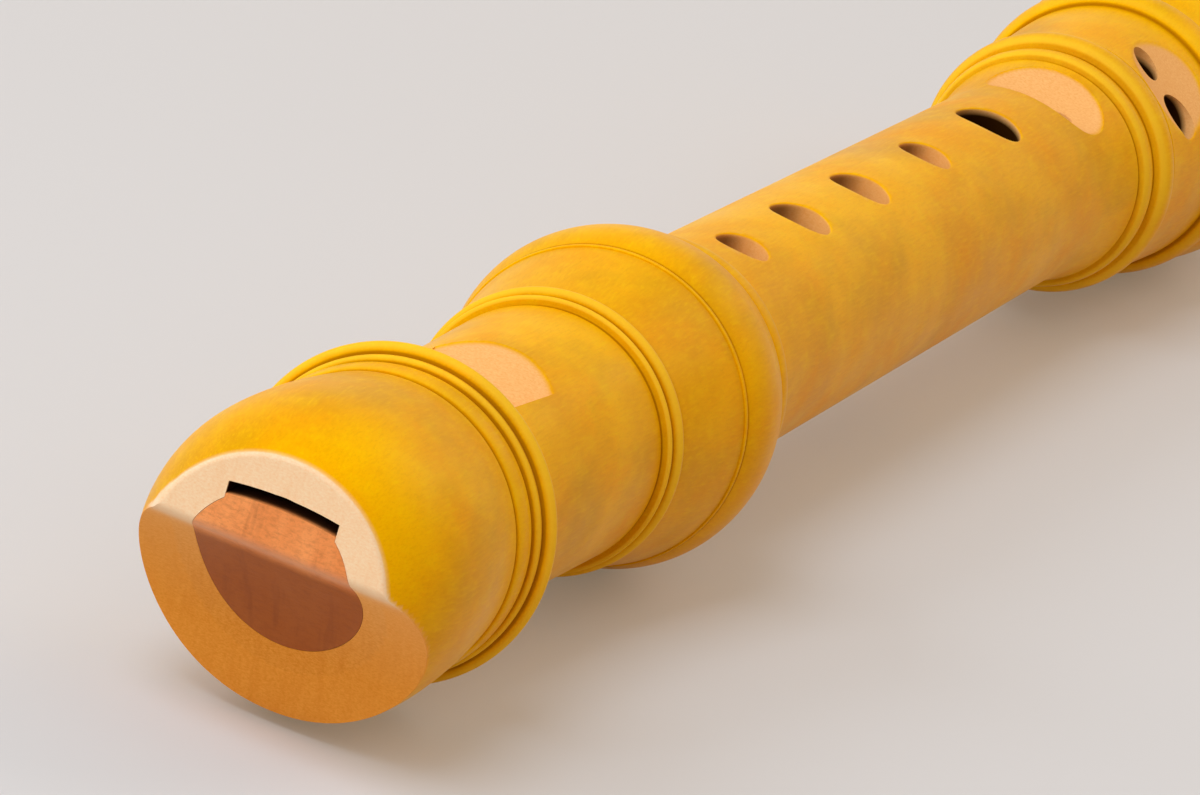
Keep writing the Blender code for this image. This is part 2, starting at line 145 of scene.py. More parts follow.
# Stage: the camera in metres and directions, and the lamps with their place, size, power and colour
FLOOR_REACH = 4.0
CAMERA_AIM = (0, MOUTH_Y + 25.1 * MM, AXIS_HEIGHT)
CAMERA_FROM = (0.28224, -0.90871, 0.30855)
CAMERA_DISTANCE = 0.77037
CAMERA_FORWARD = (-0.2672, 0.9185, -0.2915)
CAMERA_RIGHT = (0.8951, 0.3486, 0.2779)
CAMERA_LENS = 300
CAMERA_SENSOR = 36
AMBIENT_TINT = (1.0, 0.84, 0.68, 1.0)
AMBIENT_STRENGTH = 0.44
FLOOR_LIFT = 0.15
COOL = (236, 246, 255)
WARM = (255, 238, 220)
LAMPS = (("front_lamp", (-0.27, -0.84, 1.22), 0.75, 10.4, COOL),
         ("side_lamp", (-1.1, -0.45, 0.92), 0.75, 6.4, COOL),
         ("low_lamp", (-0.7, -1.3, 0.5), 0.75, 3.6, COOL),
         ("far_lamp", (0.6, 1.1, 1.05), 0.9, 5.0, WARM))


# Shares from 0 to 1

def grade(value, none, full):
    """0 where a value is at the first number, 1 at the second, evenly between them, and held beyond."""
    return np.clip((value - none) / (full - none), 0, 1)


def bell(value, middle, width):
    """exp(-((value - middle) / width)^2)."""
    return np.exp(-((value - middle) / width) ** 2)


# Profile runs: points of distance along the bore and radius

def half_round(start, width, radius, height, steps=14):
    """A half wave: radius + height * sin(angle), along start + width * (1 - cos(angle)) / 2."""
    angle = np.linspace(0, np.pi, steps + 1)
    return np.column_stack([start + width * (1 - np.cos(angle)) / 2, radius + height * np.sin(angle)])


def groove(start, radius):
    """The fine half-round groove beside a bead."""
    return half_round(start, 0.5, radius, -0.3)


def cove(start, length, first, last, steps=16):
    """A quarter ellipse that falls steeply from the first radius and ends level at the last."""
    angle = np.linspace(0, np.pi / 2, steps + 1)
    radius = last + (first - last) * (1 - np.sin(angle))
    return np.column_stack([start + length * (1 - np.cos(angle)), radius])


def swell(start, length, first, last, power, steps=26):
    """A rise from the first radius to the last by a power of the share of the length."""
    share = np.linspace(0, 1, steps + 1)
    return np.column_stack([start + length * share, first + (last - first) * share ** power])


def crown(start, rise, fall, first, top, last, powers, steps=28):
    """A bulge: top minus a drop that grows by a power of the distance before and after its crown."""
    share = np.linspace(0, 1, steps + 1)
    before = np.column_stack([start + rise * share, top - (top - first) * (1 - share) ** powers[0]])
    after = np.column_stack([start + rise + fall * share, top - (top - last) * share ** powers[1]])
    return np.vstack([before, after[1:]])


def line(start, length, first, last, spacing=0.6):
    """A straight run with points about a spacing apart."""
    steps = max(2, round(length / spacing))
    along = np.linspace(start, start + length, steps + 1)
    return np.column_stack([along, np.linspace(first, last, steps + 1)])


def joined(runs):
    """The runs one after another, without points that lie on the point before."""
    points = np.vstack(runs)
    apart = np.hypot(*np.diff(points, axis=0).T) > 0.004
    return points[np.concatenate([[True], apart])]


def chained(first, *runs):
    """A profile: its first points, then each run with its sizes, from where the one before it ends."""
    parts = [first]
    for run, *sizes in runs:
        parts.append(run(parts[-1][-1, 0], *sizes))
    return joined(parts)


def straight_runs(points, spacing=1.5):
    """Straight runs through a few profile points, filled in with points about a spacing apart."""
    runs = []
    for first, last in zip(np.array(points), np.array(points)[1:]):
        steps = max(1, math.ceil(np.hypot(*(last - first)) / spacing))
        share = np.linspace(0, 1, steps + 1)[:, None]
        runs.append(first * (1 - share) + last * share)
    return joined(runs)


def head_outer():
    """Outer profile of the head: a small round at the mouth, bulb, beads, waist, socket bulge and rim."""
    angle = np.linspace(0, math.radians(58), 7)
    mouth_round = np.column_stack([MOUTH_ROUND * (1 - np.cos(angle)), 9.72 + MOUTH_ROUND * np.sin(angle)])
    bulb = crown(0, 11.3, 10.5, MOUTH_RADIUS, BULB_RADIUS, NECK_RADIUS, (2.3, 1.8), 40)
    return chained(
        np.vstack([mouth_round, bulb[bulb[:, 0] > 0.3]]),
        (groove, NECK_RADIUS), (half_round, 2.55, NECK_RADIUS, 0.3), (groove, NECK_RADIUS),
        (half_round, 0.9, 12.3, 0.45, 18), (half_round, 1.3, 12.75, 0.85, 20),
        (cove, 2.0, 12.75, WAIST_RADIUS), (line, 28.4, WAIST_RADIUS, WAIST_END_RADIUS),
        (groove, WAIST_END_RADIUS), (half_round, 0.5, RING_RADIUS, 0.35), (groove, RING_RADIUS),
        (half_round, 1.2, RING_RADIUS, 0.8, 18),
        (swell, 10.3, 11.4, 13.2, 0.9), (half_round, 0.5, 13.25, 0.14),
        (crown, 3.7, 7.0, 13.4, BULGE_RADIUS, 12.2, (2.0, 2.0)), (half_round, 0.3, 12.2, -0.25),
        (half_round, 2.5, 11.75, 0.5, 24))


def body_outer():
    """Outer profile of the body: straight taper, flare, rings, waist, foot bulge and end bead."""
    return chained(
        line(0, STRAIGHT_LENGTH, SHOULDER_RADIUS, STRAIGHT_END_RADIUS, 0.95),
        (swell, 10.7, STRAIGHT_END_RADIUS, FLARE_RADIUS, 2.0), (groove, FLARE_RADIUS),
        (half_round, 2.1, 10.6, 0.5, 20), (groove, 10.9), (half_round, 3.2, 11.3, 0.85, 24),
        (line, 0.5, 11.3, FOOT_WAIST_RADIUS, 0.2), (line, 13.5, FOOT_WAIST_RADIUS, 12.3),
        (half_round, 4.7, 12.45, 1.15, 28), (groove, 12.45),
        (crown, 7.8, 11.8, 12.7, BULGE_RADIUS, FOOT_END_RADIUS, (1.6, 2.0)),
        (half_round, 5.8, FOOT_END_RADIUS, 1.2, 26))


# Meshes

def in_frame(across, along, height, start_y, turn=0.0):
    """Points in metres, from millimetres across the bore, along it from start_y and above it, turned about it
    towards +X: x' = x cos + z sin, z' = z cos - x sin."""
    x, y, z = np.broadcast_arrays(across, along, height)
    return np.stack([(x * math.cos(turn) + z * math.sin(turn)) * MM, start_y + y * MM,
                     AXIS_HEIGHT + (z * math.cos(turn) - x * math.sin(turn)) * MM], -1)


def bore_places(piece, start_y):
    """A piece's vertices in millimetres: across the bore, along it from start_y, and above it."""
    points = np.empty(len(piece.data.vertices) * 3)
    piece.data.vertices.foreach_get("co", points)
    return ((points.reshape(-1, 3) - (0, start_y, AXIS_HEIGHT)) / MM).T


def grid_faces(rows, columns, wrap_rows=False, wrap_columns=False):
    """Four-cornered faces of a grid of points, wrapped round in one or both directions."""
    across = np.arange(rows if wrap_rows else rows - 1)[:, None]
    along = np.arange(columns if wrap_columns else columns - 1)[None, :]
    next_row, next_column = (across + 1) % rows, (along + 1) % columns
    corners = [across * columns + along, next_row * columns + along, next_row * columns + next_column,
               across * columns + next_column]
    shape = (across.size, along.size)
    return np.stack([np.broadcast_to(corner, shape) for corner in corners], -1).reshape(-1, 4)


def placed(name, data):
    """An object with its data, linked to the scene."""
    thing = bpy.data.objects.new(name, data)
    bpy.context.scene.collection.objects.link(thing)
    return thing


def solid(name, points, *faces):
    """A mesh object from points and arrays of faces, turned so that their signed volume is positive."""
    points = points.reshape(-1, 3)
    fans = [face[:, [0, corner, corner + 1]] for face in faces for corner in range(1, face.shape[1] - 1)]
    corners = points[np.vstack(fans)] - points.mean(0)
    volume = np.einsum("ij,ij->i", corners[:, 0], np.cross(corners[:, 1], corners[:, 2])).sum()
    outwards = [face[:, ::-1] if volume < 0 else face for face in faces]
    mesh = bpy.data.meshes.new(name)
    mesh.from_pydata(points.tolist(), [], [row for face in outwards for row in face.tolist()])
    return placed(name, mesh)


def turned(name, profile, start_y, segments=SEGMENTS):
    """A turned solid: each profile point (along, radius) goes round the bore, x = r sin a, z = r cos a."""
    angle = np.linspace(0, 2 * np.pi, segments, endpoint=False)
    along, radius = profile[:, :1], profile[:, 1:] * ROUND
    points = in_frame(radius * np.sin(angle), along, radius * np.cos(angle), start_y)
    return solid(name, points, grid_faces(len(profile), segments, True, True))


def slab(name, low, high):
    """A closed solid between two grids of points of one shape, joined round their borders."""
    rows, columns = low.shape[:2]
    count = rows * columns
    face = grid_faces(rows, columns)
    index = np.arange(count).reshape(rows, columns)
    border = np.concatenate([index[0, :-1], index[:-1, -1], index[-1, :0:-1], index[:0:-1, 0]])
    after = np.roll(border, -1)
    walls = np.stack([after, border, border + count, after + count], -1)
    return solid(name, np.stack([low, high]), np.vstack([face[:, ::-1], face + count, walls]))


def plug(name, rings):
    """A closed solid through rings of points, each end closed by a fan to its middle."""
    count, around = rings.shape[:2]
    first, last = np.arange(around), np.arange(around) + (count - 1) * around
    top = count * around
    fans = np.vstack([np.stack([first, np.roll(first, -1), np.full(around, top)], -1),
                      np.stack([np.roll(last, -1), last, np.full(around, top + 1)], -1)])
    points = np.vstack([rings.reshape(-1, 3), rings[0].mean(0), rings[-1].mean(0)])
    return solid(name, points, grid_faces(count, around, False, True), fans)


def carve(piece, tools):
    """Take the tools out of the piece, keep the result as its mesh, and delete the tools."""
    for tool in tools:
        cut = piece.modifiers.new(tool.name, "BOOLEAN")
        cut.operation = "DIFFERENCE"
        cut.solver = "MANIFOLD"
        cut.object = tool
    bpy.context.view_layer.update()
    graph = bpy.context.evaluated_depsgraph_get()
    carved = bpy.data.meshes.new_from_object(piece.evaluated_get(graph))
    piece.modifiers.clear()
    piece.data = carved
    for tool in tools:
        bpy.data.objects.remove(tool, do_unlink=True)


# Cutting solids of the head

def beak_side():
    """Side view of what is away at the mouth, as distance and height over the bore, downwards. The end face
    runs down to the ridge. Below it the hollow leaves its chord by depth * s * (1 - s)^power over that term's
    largest value, with s the share of the chord. A quadratic curve with both as tangents rounds the ridge."""
    drop = RIDGE_HEIGHT - HOLLOW_LOW
    chord, deepest = math.hypot(HOLLOW_LENGTH, drop), 1 / (1 + HOLLOW_POWER)
    share = np.linspace(0.03, 1.25, 100)
    rise = share * np.clip(1 - share, 0, 1) ** HOLLOW_POWER
    bow = HOLLOW_DEPTH * rise / (deepest * (1 - deepest) ** HOLLOW_POWER)
    arc = np.column_stack([HOLLOW_LENGTH * share + drop / chord * bow,
                           RIDGE_HEIGHT - drop * share + HOLLOW_LENGTH / chord * bow])
    corner = arc[0, 1] - arc[0, 0] * (arc[1, 1] - arc[0, 1]) / (arc[1, 0] - arc[0, 0])
    reach = math.hypot(arc[0, 0], arc[0, 1] - corner)
    t = np.linspace(0, 1, 15)[:-1, None]
    bend = (1 - t) ** 2 * [[0, corner + reach]] + 2 * t * (1 - t) * [[0, corner]] + t ** 2 * arc[:1]
    end_face = np.column_stack([np.zeros(40), np.linspace(FAR, bend[0, 1] + 0.2, 40)])
    return np.vstack([end_face, bend, arc])


def beak_tool():
    """The mouth's side view carried across the bore, filled towards the player."""
    distance, height = beak_side().T
    across = np.linspace(-18, 18, 110)[:, None]
    face = in_frame(across, distance, height, MOUTH_Y)
    return slab("beak_tool", in_frame(across, -FAR, height, MOUTH_Y), face)


def arch(across):
    """Fall of the windway's arch below its middle: a share of the arch by the square of the place across."""
    return -WINDWAY_ARCH * (across / WINDWAY_HALF) ** 2


def channel(name, across, along, low, high):
    """A slab over places across and along the head's bore, between two heights."""
    return slab(name, in_frame(across, along, low, MOUTH_Y), in_frame(across, along, high, MOUTH_Y))


def head_tools():
    """Windway, window with its ramp, and the undercut below the edge. From the edge the ramp rises evenly to
    the waist's surface, and the undercut falls to a share of the bore's radius. Both follow the arch."""
    inside = HEAD_BORE / 2
    edge = BLOCK_LENGTH + WINDOW_LENGTH
    edge_top = WINDWAY_FLOOR + (WINDWAY_HEIGHT + EDGE_THICKNESS) / 2
    edge_under = WINDWAY_FLOOR + (WINDWAY_HEIGHT - EDGE_THICKNESS) / 2
    from_side_to_side = np.linspace(-1, 1, 41)
    across = WINDWAY_HALF * from_side_to_side
    near_mouth = [-2, 0.06, 0.25]
    along = np.concatenate([near_mouth, np.linspace(0.5, BLOCK_LENGTH + 0.5, 88)])[:, None]
    windway = channel("windway_tool", across, along, inside, WINDWAY_FLOOR + WINDWAY_HEIGHT + arch(across))
    along = np.linspace(BLOCK_LENGTH, edge, 14)[:, None]
    window = channel("window_tool", across, along, inside, FAR)
    along = np.linspace(edge - 1, edge + UNDERCUT_LENGTH, 20)[:, None]
    fall = (edge_under - HEAD_BORE * UNDERCUT_SHARE) * grade(along, edge, edge + UNDERCUT_LENGTH)
    undercut = channel("undercut_tool", across, along, inside, edge_under - fall + arch(across))
    along = np.linspace(edge - 0.2, edge + RAMP_LENGTH * 1.2, 60)[:, None]
    share = (along - edge) / RAMP_LENGTH
    across = (WINDWAY_HALF + RAMP_WIDENING * np.clip(share, 0, 2)) * from_side_to_side
    slope = edge_top + (WAIST_RADIUS * ROUND - edge_top) * share
    ramp = channel("ramp_tool", across, along, slope + arch(across), FAR)
    return [windway, window, ramp, undercut]


# Cutting solids of the body

def turned_surface(profile):
    """Height of a turned surface over the bore: sqrt(R(along)^2 - across^2)."""
    def height(across, along):
        radius = np.interp(along, profile[:, 0], profile[:, 1]) * ROUND
        return np.sqrt(np.maximum(radius ** 2 - across ** 2, 0))
    return height


def trough_surface(place, radius, lowest):
    """Height of a round trough across the body: a circle in the side view, lowest at its place."""
    def height(across, along):
        return lowest + radius - np.sqrt(np.maximum(radius ** 2 - (along - place) ** 2, 0))
    return height


def hole_tool(name, surface, place, turn, aside, diameter, softness=HOLE_SOFTNESS):
    """A round hole from the bore outwards. Its wall follows a circle of the hole's radius. Just below the
    surface it widens in a round of the softness's size, which runs straight on at its end."""
    angle = np.linspace(0, 2 * np.pi, 72, endpoint=False)
    bend = np.linspace(0, math.radians(68), 7)
    last = bend[-1]
    rim_widths = softness * np.append(1 - np.cos(bend), 1 - math.cos(last) + 3 * math.sin(last))
    rim_drops = softness * np.append(1 - np.sin(bend), 1 - math.sin(last) - 3 * math.cos(last))
    widths = np.concatenate([0 * WALL_DROPS, rim_widths])
    drops = np.concatenate([WALL_DROPS + softness, rim_drops])
    radius = diameter / 2 + widths[:, None]
    across, along = aside + radius * np.cos(angle), place + radius * np.sin(angle)
    height = surface(across, along) - drops[:, None]
    ends = [0] + list(range(len(widths))) + [-1]
    across, along, height = across[ends], along[ends], height[ends]
    height[0], height[-1] = 1.0, FAR
    return plug(name, in_frame(across, along, height, SHOULDER_Y, turn))


def trough_tool(name, surface, place, reach, turn):
    """A slab from the trough's surface outwards, over a length on both sides of its place."""
    along = np.linspace(place - reach, place + reach, 80)[None, :]
    across = np.linspace(-14, 14, 100)[:, None]
    low = in_frame(across, along, surface(across, along), SHOULDER_Y, turn)
    return slab(name, low, in_frame(across, along, FAR, SHOULDER_Y, turn))


def body_tools(profile):
    """Finger holes 1 to 5, thumb hole, scoop with the double hole 6, and flat with the double hole 7."""
    outside = turned_surface(profile)
    scoop = trough_surface(SCOOP_PLACE, SCOOP_RADIUS, STRAIGHT_END_RADIUS * ROUND - SCOOP_DEPTH)
    flat = trough_surface(FLAT_PLACE, FLAT_RADIUS, FOOT_WAIST_RADIUS * ROUND - FLAT_DEPTH)
    tools = [hole_tool(f"hole_{number}_tool", outside, place, BODY_TURN, 0, size)
             for number, (place, size) in enumerate(zip(HOLE_PLACES, HOLE_SIZES), start=1)]
    tools.append(hole_tool("thumb_hole_tool", outside, THUMB_PLACE, BODY_TURN + math.pi, 0, THUMB_SIZE))
    tools.append(trough_tool("scoop_tool", scoop, SCOOP_PLACE, SCOOP_REACH, BODY_TURN))
    for side, size in zip((-1, 1), SIX_SIZES):
        aside = side * SIX_ASIDE
        tools.append(hole_tool("hole_6_tool", scoop, SCOOP_PLACE, BODY_TURN, aside, size, SIX_SOFTNESS))
    tools.append(trough_tool("flat_tool", flat, FLAT_PLACE, FLAT_REACH, FLAT_TURN))
    for side, size in zip((-1, 1), SEVEN_SIZES):
        turn = FLAT_TURN + side * SEVEN_SPREAD
        tools.append(hole_tool("hole_7_tool", outside, FLAT_PLACE, turn, 0, size, SEVEN_SOFTNESS))
    return tools


# Surface facts that the materials read, each from 0 to 1 at every vertex

def sampled(profile, spacing=0.02):
    """Distances and radii of a profile at an even spacing, from 3 mm before it to 3 mm beyond."""
    along = np.arange(profile[0, 0] - 3, profile[-1, 0] + 3, spacing)
    return along, np.interp(along, profile[:, 0], profile[:, 1])


def depth_under(profile, along, radius):
    """How far points lie under a turned profile, taken at its lowest within four samples."""
    places, levels = sampled(profile)
    lowest = np.min([np.roll(levels, shift) for shift in range(-4, 5)], axis=0)
    return np.interp(along, places, lowest) * ROUND - radius


def turned_facts(profile, along, depth):
    """bare is how far a point lies under the turned surface. groove and crest are how far the profile lies
    under and over its own average, weighted by exp(-(distance / 0.45)^2 / 2) over 100 samples each way.
    The materials darken grooves, partly for pooled stain and partly as painted shade,
    and paint a highlight on crests."""
    places, levels = sampled(profile)
    distance = np.arange(-100, 101) * (places[1] - places[0])
    weights = np.exp(-0.5 * (distance / 0.45) ** 2)
    average = np.convolve(np.pad(levels, 100, mode="edge"), weights / weights.sum(), "valid")
    relief = np.interp(along, places, levels - average)
    return {"bare": grade(depth, 0.06, 0.22),
            "groove": grade(relief, 0, -0.16),
            "crest": grade(relief, 0, 0.2)}


def from_hole_line(across, height):
    """Places seen along the line of finger holes: how far across it and how far up it."""
    return (across * math.cos(BODY_TURN) - height * math.sin(BODY_TURN),
            across * math.sin(BODY_TURN) + height * math.cos(BODY_TURN))


def keep_facts(piece, facts):
    """Write the facts into the piece's mesh as point attributes, and shade it smooth between sharp edges."""
    for name, values in facts.items():
        attribute = piece.data.attributes.new(name, "FLOAT", "POINT")
        attribute.data.foreach_set("value", values.astype(np.float32))
    piece.data.shade_smooth()
    piece.data.set_sharp_from_angle(angle=math.radians(32))


# Nodes of the materials

def feed(tree, node, inputs):
    """Give a node its inputs by name or number: a socket is linked, a value is set."""
    for key, value in inputs.items():
        if isinstance(value, bpy.types.NodeSocket):
            tree.links.new(value, node.inputs[key])
        else:
            node.inputs[key].default_value = value


def add(tree, kind, inputs, **settings):
    """A node with its settings and inputs."""
    node = tree.nodes.new(kind)
    for key, value in settings.items():
        setattr(node, key, value)
    feed(tree, node, inputs)
    return node


def material_tree(name):
    """A new material, its node tree, its Principled shader, and the object's coordinates."""
    material = bpy.data.materials.new(name)
    material.use_nodes = True
    tree = material.node_tree
    where = add(tree, "ShaderNodeTexCoord", {}).outputs["Object"]
    return material, tree, tree.nodes["Principled BSDF"], where


def colour(red, green, blue):
    """Linear colour from 0-255 screen values."""
    shares = [value / 255 for value in (red, green, blue)]
    return (*(((s + 0.055) / 1.055) ** 2.4 if s > 0.04 else s / 12.92 for s in shares), 1.0)


def noise(tree, where, scale, detail=3.0, rough=0.55, stretch=(1, 1, 1)):
    """Noise over the object's coordinates, stretched."""
    place = add(tree, "ShaderNodeMapping", {"Vector": where, "Scale": stretch}).outputs[0]
    inputs = {"Vector": place, "Scale": scale, "Detail": detail, "Roughness": rough}
    return add(tree, "ShaderNodeTexNoise", inputs).outputs["Fac"]


def spread(tree, value, low, high, to_low=0.0, to_high=1.0):
    """A value carried from one range to another and held there."""
    inputs = {"Value": value, "From Min": low, "From Max": high, "To Min": to_low, "To Max": to_high}
    return add(tree, "ShaderNodeMapRange", inputs).outputs[0]


def reckoned(tree, operation, first, second):
    """Two numbers through a math node."""
    return add(tree, "ShaderNodeMath", {0: first, 1: second}, operation=operation).outputs[0]


def mixed(tree, share, first, second):
    """Two colours mixed by a share."""
    return add(tree, "ShaderNodeMix", {0: share, 6: first, 7: second}, data_type="RGBA").outputs[2]


def layered(tree, tint, *layers):
    """A colour with others laid over it one after another, each by its share."""
    for share, over in layers:
        tint = mixed(tree, share, tint, over)
    return tint


def fact(tree, name, most=1.0):
    """A point attribute of the piece, as a share up to the most."""
    value = add(tree, "ShaderNodeAttribute", {}, attribute_name=name).outputs["Fac"]
    return value if most == 1.0 else reckoned(tree, "MULTIPLY", value, most)


def bumped(tree, shader, height, strength, distance):
    """Fine relief on a shader, from a height."""
    bump = add(tree, "ShaderNodeBump", {"Height": height, "Strength": strength, "Distance": distance})
    feed(tree, shader, {"Normal": bump.outputs[0]})


def seen_directly(tree):
    """1 for rays from the camera, from gloss and through clear things, 0 for those that light a surface."""
    rays = add(tree, "ShaderNodeLightPath", {}).outputs
    shown = reckoned(tree, "MAXIMUM", rays["Is Camera Ray"], rays["Is Glossy Ray"])
    return reckoned(tree, "MAXIMUM", shown, rays["Is Transmission Ray"])


# Materials

def stained_boxwood(name):
    """Amber stain, clouded towards olive and orange, over pale fine-grained wood. Painted highlights lie on
    the crests, the mouth's end face and, with rubbed wood, its ridge. Painted shade lies in the hollow below
    the ridge and in the openings, and, with pooled stain, in the grooves.
    """
    material, tree, shader, where = material_tree(name)
    blotch = noise(tree, where, 62, 3, 0.5)
    cloud = noise(tree, where, 190, 3, 0.5, (1, 0.7, 1))
    olive = noise(tree, where, 120, 3, 0.55, (1, 0.6, 1))
    curl = noise(tree, where, 700, 3, 0.55, (1, 0.6, 1))
    hair = noise(tree, where, 4600, 3, 0.6, (1, 0.12, 1))
    pore = noise(tree, where, 5600, 2, 0.6, (1, 0.6, 1))
    stain = layered(
        tree, colour(253, 186, 0),
        (spread(tree, blotch, 0.4, 0.62), colour(238, 166, 0)),
        (spread(tree, cloud, 0.45, 0.68, 0, 0.5), colour(248, 160, 0)),
        (spread(tree, olive, 0.5, 0.7, 0, 0.6), colour(218, 158, 0)),
        (spread(tree, curl, 0.5, 0.74, 0, 0.3), colour(255, 206, 0)),
        (spread(tree, hair, 0.52, 0.74, 0, 0.28), colour(255, 214, 0)),
        (spread(tree, hair, 0.48, 0.3, 0, 0.16), colour(206, 132, 0)),
        (spread(tree, pore, 0.52, 0.72, 0, 0.12), colour(196, 126, 0)),
        # Grooves darker, partly for stain pooled in them and partly as painted shade; crests carry a painted
        # highlight
        (fact(tree, "groove", 0.7), colour(166, 98, 0)),
        (fact(tree, "crest", 0.6), colour(255, 206, 56)))
    speck = spread(tree, noise(tree, where, 6400, 3, 0.65, (0.6, 1, 1)), 0.34, 0.68)
    ray = noise(tree, where, 1500, 3, 0.6, (1, 0.25, 0.12))
    # Painted light: a paler cream copy of the bare wood for the end face above the ridge, which faces the
    # lamps
    upper = layered(
        tree, colour(255, 224, 188),
        (speck, colour(251, 208, 162)),
        (spread(tree, ray, 0.5, 0.7, 0, 0.3), colour(247, 196, 146)))
    # Painted shade: a darker orange copy of the bare wood for the hollow below the ridge, which faces down
    shaded_low_face = layered(
        tree, colour(244, 166, 72),
        (speck, colour(228, 144, 48)),
        (spread(tree, ray, 0.48, 0.7, 0, 0.28), colour(216, 128, 34)))
    pale = layered(
        tree, colour(253, 193, 122),
        (speck, colour(243, 173, 98)),
        (fact(tree, "upper"), upper),
        (fact(tree, "shaded_low_face"), shaded_low_face),
        # The ridge's paler band: partly rubbed wood, partly a painted highlight
        (fact(tree, "ridge", 0.6), colour(255, 228, 200)),
        # On the head a line along the cut's edge, partly stain and partly a painted highlight; on the body an
        # orange tinge on the hole walls
        (fact(tree, "rim"), colour(255, 170, 66)),
        # Painted shade in the windway and in the holes
        (fact(tree, "painted_shade"), colour(44, 20, 2)))
    bare = fact(tree, "bare")
    clouding = spread(tree, cloud, 0.3, 0.7, -0.05, 0.06)
    feed(tree, shader, {
        "Base Color": mixed(tree, bare, stain, pale),
        "Roughness": reckoned(tree, "ADD", spread(tree, bare, 0, 1, 0.34, 0.6), clouding),
        "Specular IOR Level": 0.045,
        "Specular Tint": (1.0, 0.68, 0.05, 1.0)})
    pits = reckoned(tree, "MULTIPLY", pore, -0.4)
    bumped(tree, shader, reckoned(tree, "ADD", reckoned(tree, "MULTIPLY", hair, 0.8), pits), 0.14, 0.04 * MM)
    return material


def block_cedar(name):
    """Reddish straight-grained wood: fine dark lines along the bore, seen as specks on the cut end.
    Painted shade lies on its face below the ridge and on the windway's floor, and the ridge's paler band
    is partly rubbed wood and partly a painted highlight.
    """
    material, tree, shader, where = material_tree(name)
    blotch = noise(tree, where, 240, 3, 0.6, (1, 0.5, 0.3))
    streak = noise(tree, where, 900, 3, 0.55, (1, 0.1, 0.14))
    fibre = noise(tree, where, 3400, 3, 0.65, (0.35, 0.3, 1))
    speck = noise(tree, where, 5200, 3, 0.65)
    wood = layered(
        tree, colour(252, 162, 94),
        (spread(tree, blotch, 0.35, 0.65), colour(236, 140, 72)),
        # Painted shade: the block's face below the ridge is darker
        (fact(tree, "shaded_low_face", 0.85), colour(154, 76, 8)),
        (spread(tree, streak, 0.54, 0.72, 0, 0.4), colour(128, 58, 18)),
        (spread(tree, fibre, 0.46, 0.72, 0, 0.3), colour(140, 66, 22)),
        (spread(tree, speck, 0.5, 0.74, 0, 0.18), colour(126, 58, 20)),
        # The ridge's paler band: partly rubbed wood, partly a painted highlight
        (fact(tree, "ridge", 0.5), colour(232, 180, 152)),
        # Painted shade on the windway's floor
        (fact(tree, "painted_shade"), colour(28, 12, 4)))
    feed(tree, shader, {"Base Color": wood, "Roughness": 0.5, "Specular IOR Level": 0.3})
    bumped(tree, shader, reckoned(tree, "ADD", fibre, speck), 0.25, 0.06 * MM)
    return material


def waxed_thread(name):
    """Twisted thread under wax."""
    material, tree, shader, where = material_tree(name)
    fibre = noise(tree, where, 2600, 3, 0.6, (1, 0.5, 1))
    wax = noise(tree, where, 300, 3, 0.6)
    thread = layered(
        tree, colour(196, 160, 112),
        (fibre, colour(150, 112, 70)),
        (spread(tree, wax, 0.45, 0.7, 0, 0.5), colour(214, 188, 140)))
    feed(tree, shader, {"Base Color": thread, "Roughness": spread(tree, wax, 0.3, 0.7, 0.75, 0.5)})
    bumped(tree, shader, fibre, 0.5, 0.1 * MM)
    return material


def floor_paper(name):
    """Pale matt sheet. Where it is seen it is cooler, and a little light of its own lifts its shadow."""
    material, tree, shader, where = material_tree(name)
    shown = seen_directly(tree)
    sheet = layered(
        tree, colour(197, 199, 206),
        (spread(tree, noise(tree, where, 3, 2, 0.5), 0.3, 0.7), colour(193, 195, 202)))
    feed(tree, shader, {
        "Base Color": mixed(tree, shown, colour(206, 194, 176), sheet),
        "Emission Color": (1.0, 0.84, 0.6, 1.0),
        "Emission Strength": reckoned(tree, "MULTIPLY", shown, FLOOR_LIFT),
        "Roughness": 0.7,
        "Specular IOR Level": 0.2})
    return material


# Pieces

def dress(piece, material, body, node=None):
    """Give a piece its material and its body's empty, and hide the CAD node that it stands for."""
    piece.data.materials.clear()
    piece.data.materials.append(material)
    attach(piece, body)
    if node:
        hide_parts(node)


